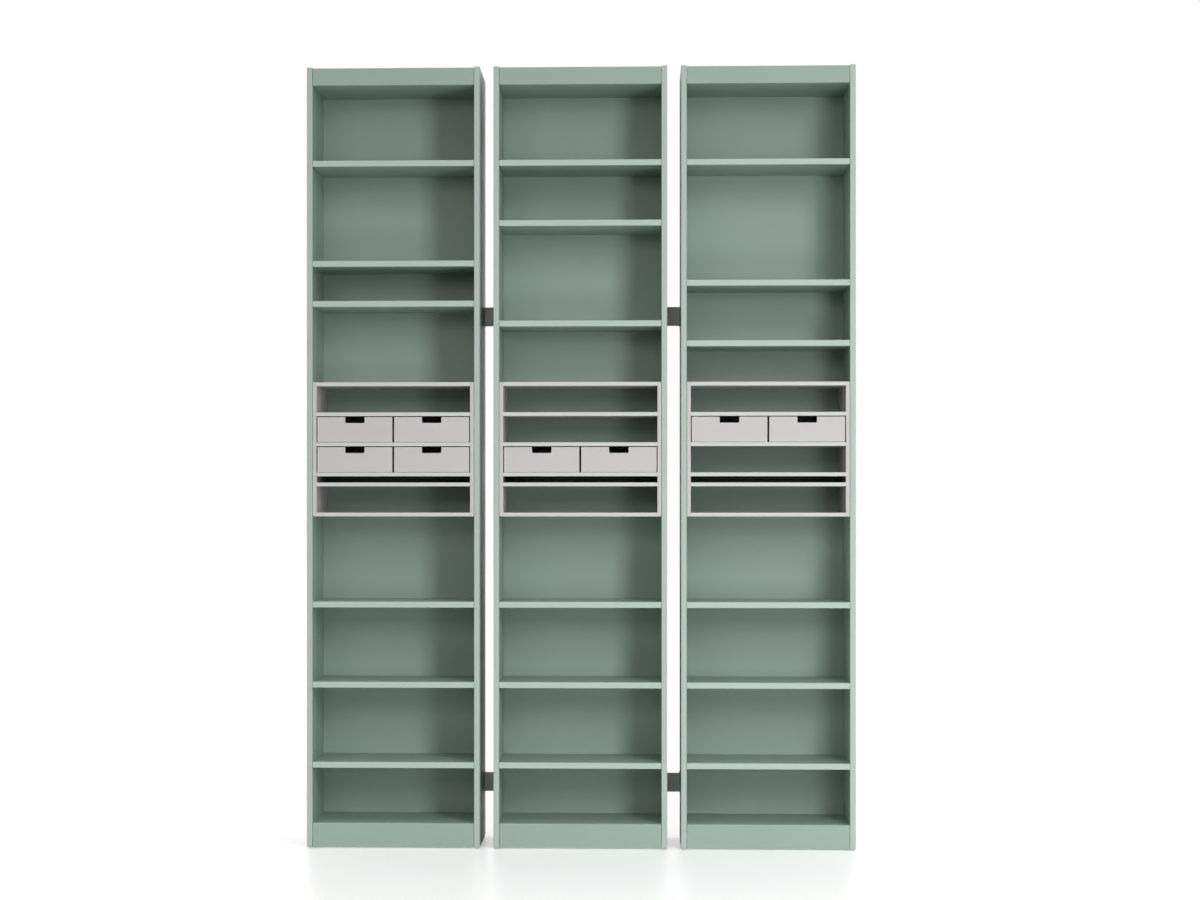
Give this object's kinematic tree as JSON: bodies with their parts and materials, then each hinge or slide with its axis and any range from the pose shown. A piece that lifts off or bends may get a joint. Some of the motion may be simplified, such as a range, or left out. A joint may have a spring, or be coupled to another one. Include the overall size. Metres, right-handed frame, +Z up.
{
  "type": "modular bookcase",
  "caption": "Tall modular bookcase of linked open units with adjustable shelves and a pigeonhole insert that holds small pull-out drawers.",
  "frame": {"origin": "middle of the footprint, on the floor", "axes": "+X to the right seen from the front, +Y to the back, +Z up"},
  "size_m": [1.747, 0.32, 2.493],
  "materials": {
    "green_lacquer": "satin sage green lacquer on board",
    "green_back_panel": "satin sage green lacquer on thin board",
    "grey_lacquer": "matt warm light grey lacquer on board",
    "link_bracket_paint": "dark grey green powder coat",
    "steel_fittings": "plain steel",
    "zinc_fittings": "zinc plated",
    "beech_dowels": "bare beech",
    "black_plastic": "moulded"
  },
  "bodies": {
    "bookcase": {"left_unit_left_side": "green_lacquer", "left_unit_right_side": "green_lacquer", "left_unit_back_panel": "green_back_panel", "left_unit_top_board": "green_lacquer", "left_unit_fascia": "green_lacquer", "left_unit_base_board": "green_lacquer", "left_unit_plinth": "green_lacquer", "left_unit_lower_shelves": "green_lacquer", "left_unit_upper_shelves": "green_lacquer", "left_unit_insert_sides": "grey_lacquer", "left_unit_insert_boards": "grey_lacquer", "middle_unit_left_side": "green_lacquer", "middle_unit_right_side": "green_lacquer", "middle_unit_back_panel": "green_back_panel", "middle_unit_top_board": "green_lacquer", "middle_unit_fascia": "green_lacquer", "middle_unit_base_board": "green_lacquer", "middle_unit_plinth": "green_lacquer", "middle_unit_lower_shelves": "green_lacquer", "middle_unit_upper_shelves": "green_lacquer", "middle_unit_insert_sides": "grey_lacquer", "middle_unit_insert_boards": "grey_lacquer", "right_unit_left_side": "green_lacquer", "right_unit_right_side": "green_lacquer", "right_unit_back_panel": "green_back_panel", "right_unit_top_board": "green_lacquer", "right_unit_fascia": "green_lacquer", "right_unit_base_board": "green_lacquer", "right_unit_plinth": "green_lacquer", "right_unit_lower_shelves": "green_lacquer", "right_unit_upper_shelves": "green_lacquer", "right_unit_insert_sides": "grey_lacquer", "right_unit_insert_boards": "grey_lacquer", "shelf_pins": "steel_fittings", "frame_dowels": "beech_dowels", "cam_housings": "zinc_fittings", "cam_bolts": "zinc_fittings", "insert_screws": "zinc_fittings", "link_brackets": "link_bracket_paint", "link_screws": "zinc_fittings", "glide_feet": "black_plastic", "wall_brackets": "steel_fittings", "wall_bracket_screws": "zinc_fittings"},
    "drawer_1": {"drawer_1_front": "grey_lacquer", "drawer_1_box": "grey_lacquer"},
    "drawer_2": {"drawer_2_front": "grey_lacquer", "drawer_2_box": "grey_lacquer"},
    "drawer_3": {"drawer_3_front": "grey_lacquer", "drawer_3_box": "grey_lacquer"},
    "drawer_4": {"drawer_4_front": "grey_lacquer", "drawer_4_box": "grey_lacquer"},
    "drawer_5": {"drawer_5_front": "grey_lacquer", "drawer_5_box": "grey_lacquer"},
    "drawer_6": {"drawer_6_front": "grey_lacquer", "drawer_6_box": "grey_lacquer"},
    "drawer_7": {"drawer_7_front": "grey_lacquer", "drawer_7_box": "grey_lacquer"},
    "drawer_8": {"drawer_8_front": "grey_lacquer", "drawer_8_box": "grey_lacquer"}
  },
  "joints": [
    {"name": "drawer_1_slide", "type": "slide", "parent": "bookcase", "child": "drawer_1", "axis": [0, -1, 0], "range_m": [0, 0.2]},
    {"name": "drawer_2_slide", "type": "slide", "parent": "bookcase", "child": "drawer_2", "axis": [0, -1, 0], "range_m": [0, 0.2]},
    {"name": "drawer_3_slide", "type": "slide", "parent": "bookcase", "child": "drawer_3", "axis": [0, -1, 0], "range_m": [0, 0.2]},
    {"name": "drawer_4_slide", "type": "slide", "parent": "bookcase", "child": "drawer_4", "axis": [0, -1, 0], "range_m": [0, 0.2]},
    {"name": "drawer_5_slide", "type": "slide", "parent": "bookcase", "child": "drawer_5", "axis": [0, -1, 0], "range_m": [0, 0.2]},
    {"name": "drawer_6_slide", "type": "slide", "parent": "bookcase", "child": "drawer_6", "axis": [0, -1, 0], "range_m": [0, 0.2]},
    {"name": "drawer_7_slide", "type": "slide", "parent": "bookcase", "child": "drawer_7", "axis": [0, -1, 0], "range_m": [0, 0.2]},
    {"name": "drawer_8_slide", "type": "slide", "parent": "bookcase", "child": "drawer_8", "axis": [0, -1, 0], "range_m": [0, 0.2]}
  ]
}
